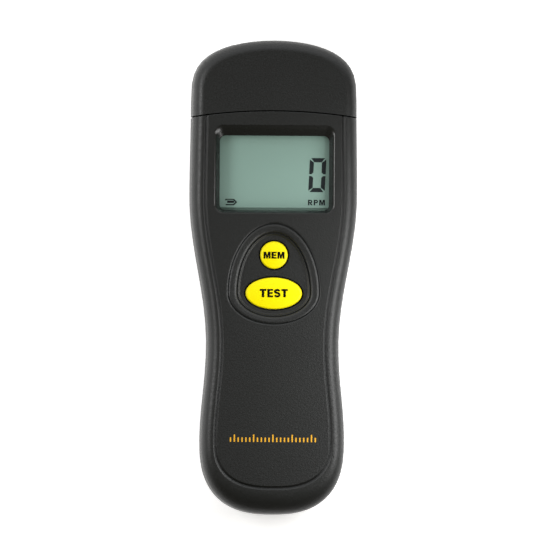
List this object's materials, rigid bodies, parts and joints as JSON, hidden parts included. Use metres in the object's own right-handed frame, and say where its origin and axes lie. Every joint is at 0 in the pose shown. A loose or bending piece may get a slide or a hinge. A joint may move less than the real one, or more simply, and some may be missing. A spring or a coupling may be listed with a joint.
{
  "type": "laser tachometer",
  "caption": "Handheld laser tachometer: waisted black case with a curved head cap, a display window, a round and an oval yellow key, and a battery door that slides off the tail.",
  "frame": {"origin": "on the resting plane under the middle of the case", "axes": "+Y from the tail to the head, +Z from the back to the display, +X to the reader's right"},
  "size_m": [0.0648, 0.1827, 0.034],
  "materials": {
    "case_plastic": "black moulded plastic with a fine grain",
    "key_yellow": "bright yellow satin key plastic",
    "clear_window": "clear polished display window",
    "beam_window": "dark red polished filter window",
    "lcd": "grey-green liquid crystal panel",
    "cream_plastic": "plain moulded plastic",
    "pink_rubber": "soft contact rubber",
    "board": "green lacquered circuit board",
    "dark_plastic": "dark moulded plastic",
    "steel": "bright plated steel",
    "blue_sleeve": "shrunk plastic sleeve",
    "brass": "turned brass",
    "lens_glass": "polished clear lens",
    "battery_can": "plain painted can",
    "red_wire": "red wire insulation",
    "black_wire": "black wire insulation",
    "foam": "grey foam",
    "plunger_plastic": "pale switch plunger"
  },
  "bodies": {
    "case": {"front_shell": "case_plastic", "rear_shell": "case_plastic", "head_cap": "case_plastic", "display_window": "clear_window", "beam_window": "beam_window", "lcd_panel": "lcd", "lcd_frame": "cream_plastic", "contact_strips": "pink_rubber", "main_board": "board", "sensor_board": "board", "controller_chip": "dark_plastic", "crystal": "steel", "capacitors": "blue_sleeve", "test_switch": "dark_plastic", "mem_switch": "dark_plastic", "link_header": "dark_plastic", "optics_holder": "dark_plastic", "laser_barrel": "brass", "laser_lens": "lens_glass", "receiver_lens": "lens_glass", "photodiode": "dark_plastic", "battery": "battery_can", "battery_snap": "dark_plastic", "red_lead": "red_wire", "black_lead": "black_wire", "battery_pad": "foam", "case_screws": "steel", "board_screws": "steel", "optics_screws": "steel"},
    "test_key_body": {"test_key": "key_yellow", "test_plunger": "plunger_plastic"},
    "mem_key_body": {"mem_key": "key_yellow", "mem_plunger": "plunger_plastic"},
    "door_body": {"battery_door": "case_plastic"}
  },
  "joints": [
    {"name": "test_key_press", "type": "slide", "parent": "case", "child": "test_key_body", "axis": [0, 0, -1], "range_m": [0, 0.0008], "stiffness_N_per_m": 400},
    {"name": "mem_key_press", "type": "slide", "parent": "case", "child": "mem_key_body", "axis": [0, 0, -1], "range_m": [0, 0.0008], "stiffness_N_per_m": 400},
    {"name": "battery_door_slide", "type": "slide", "parent": "case", "child": "door_body", "axis": [0, -1, 0], "range_m": [0, 0.07]}
  ]
}
